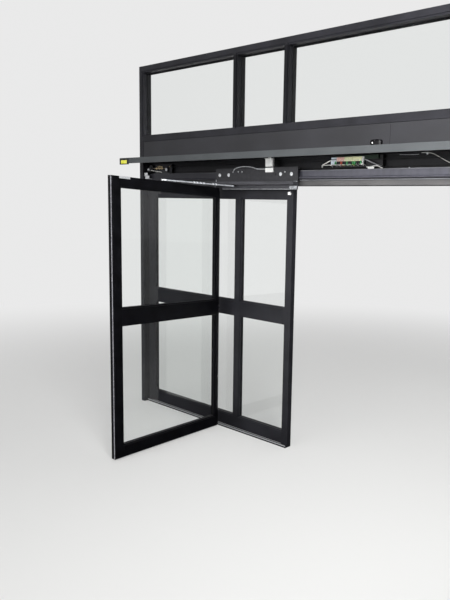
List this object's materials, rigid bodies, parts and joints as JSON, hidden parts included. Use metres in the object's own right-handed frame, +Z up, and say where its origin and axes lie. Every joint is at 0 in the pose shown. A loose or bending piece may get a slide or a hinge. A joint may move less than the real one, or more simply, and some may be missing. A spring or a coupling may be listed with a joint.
{
  "type": "automatic entrance door",
  "caption": "Storefront entrance with transom, glazed sidelites, two sliding breakout leaves and an open header that shows its track, carriages and belt",
  "frame": {"origin": "Centre of the left jamb's foot, on the floor", "axes": "+X along the entrance from the left jamb to the right one, +Y from the side seen into the space behind it, +Z up"},
  "size_m": [5.872, 1.0661, 3.28],
  "materials": {
    "frame_metal": "satin",
    "leaf_metal": "satin",
    "glass": "clear",
    "catch_plastic": "matte",
    "guide_metal": "satin",
    "fascia_metal": "satin",
    "header_metal": "satin",
    "track_metal": "satin",
    "bracket_steel": "satin",
    "belt_rubber": "matte",
    "control_case": "matte",
    "terminal_plastic": "matte",
    "cover_metal": "satin",
    "sensor_plastic": "gloss",
    "carriage_metal": "satin",
    "roller_steel": "satin",
    "strike_steel": "satin",
    "arm_metal": "satin",
    "pulley_plastic": "matte"
  },
  "bodies": {
    "frame": {"jamb_left": "frame_metal", "jamb_right": "frame_metal", "head_rail": "frame_metal", "transom_bar": "frame_metal", "transom_mullions": "frame_metal", "transom_glass": "glass", "sidelite_left_stiles": "frame_metal", "sidelite_left_rails": "frame_metal", "sidelite_left_glass": "glass", "sidelite_right_stiles": "frame_metal", "sidelite_right_rails": "frame_metal", "sidelite_right_glass": "glass", "stile_catches": "catch_plastic", "floor_guides": "guide_metal", "fascia_panels": "fascia_metal", "header_sill": "track_metal", "header_backbone": "header_metal", "track_rail": "track_metal", "idler_bracket_left": "bracket_steel", "idler_bracket_right": "bracket_steel", "drive_belt": "belt_rubber", "drive_motor": "control_case", "control_unit": "control_case", "terminal_strip": "terminal_plastic"},
    "cover": {"header_cover": "cover_metal", "motion_sensor": "sensor_plastic"},
    "carriage_left": {"carriage_left_plate": "carriage_metal", "carriage_left_hanger": "carriage_metal", "carriage_left_rollers": "roller_steel"},
    "leaf_left": {"leaf_left_stiles": "leaf_metal", "leaf_left_rails": "leaf_metal", "leaf_left_glass": "glass", "leaf_left_strike": "strike_steel"},
    "arm_left": {"arm_left": "arm_metal"},
    "pulley_left": {"pulley_left": "pulley_plastic"},
    "carriage_right": {"carriage_right_plate": "carriage_metal", "carriage_right_hanger": "carriage_metal", "carriage_right_rollers": "roller_steel"},
    "leaf_right": {"leaf_right_stiles": "leaf_metal", "leaf_right_rails": "leaf_metal", "leaf_right_glass": "glass", "leaf_right_strike": "strike_steel"},
    "arm_right": {"arm_right": "arm_metal"},
    "pulley_right": {"pulley_right": "pulley_plastic"}
  },
  "joints": [
    {"name": "slide_left", "type": "slide", "parent": "frame", "child": "carriage_left", "axis": [1, 0, 0], "range_m": [-0.1, 0.84]},
    {"name": "slide_right", "type": "slide", "parent": "frame", "child": "carriage_right", "axis": [-1, 0, 0], "range_m": [-0.1, 0.84]},
    {"name": "breakout_left", "type": "hinge", "parent": "carriage_left", "child": "leaf_left", "pos_m": [1.124, -0.074, 1], "axis": [0, 0, 1], "range_deg": [-2, 88]},
    {"name": "breakout_right", "type": "hinge", "parent": "carriage_right", "child": "leaf_right", "pos_m": [4.696, -0.074, 1], "axis": [0, 0, -1], "range_deg": [-2, 88]},
    {"name": "stop_arm_left", "type": "hinge", "parent": "carriage_left", "child": "arm_left", "pos_m": [1.355, -0.074, 2.155], "axis": [0, 0, 1], "range_deg": [-2.6, 113]},
    {"name": "stop_arm_right", "type": "hinge", "parent": "carriage_right", "child": "arm_right", "pos_m": [4.465, -0.074, 2.155], "axis": [0, 0, -1], "range_deg": [-2.6, 113]},
    {"name": "cover_hinge", "type": "hinge", "parent": "frame", "child": "cover", "pos_m": [2.91, -0.12, 2.3935], "axis": [1, 0, 0], "range_deg": [0, 90]},
    {"name": "pulley_turn_left", "type": "hinge", "parent": "frame", "child": "pulley_left", "pos_m": [0.334, 0, 2.32], "axis": [0, -1, 0], "range_deg": [-230, 1905]},
    {"name": "pulley_turn_right", "type": "hinge", "parent": "frame", "child": "pulley_right", "pos_m": [5.486, 0, 2.32], "axis": [0, -1, 0], "range_deg": [-230, 1905]}
  ],
  "couplings": [
    {"joint": "slide_right", "follows": "slide_left", "ratio": 1},
    {"joint": "stop_arm_left", "follows": "breakout_left", "ratio": 1.2826},
    {"joint": "stop_arm_right", "follows": "breakout_right", "ratio": 1.2826},
    {"joint": "pulley_turn_left", "follows": "slide_left", "rad_per_m": 39.526},
    {"joint": "pulley_turn_right", "follows": "slide_left", "rad_per_m": 39.526}
  ]
}
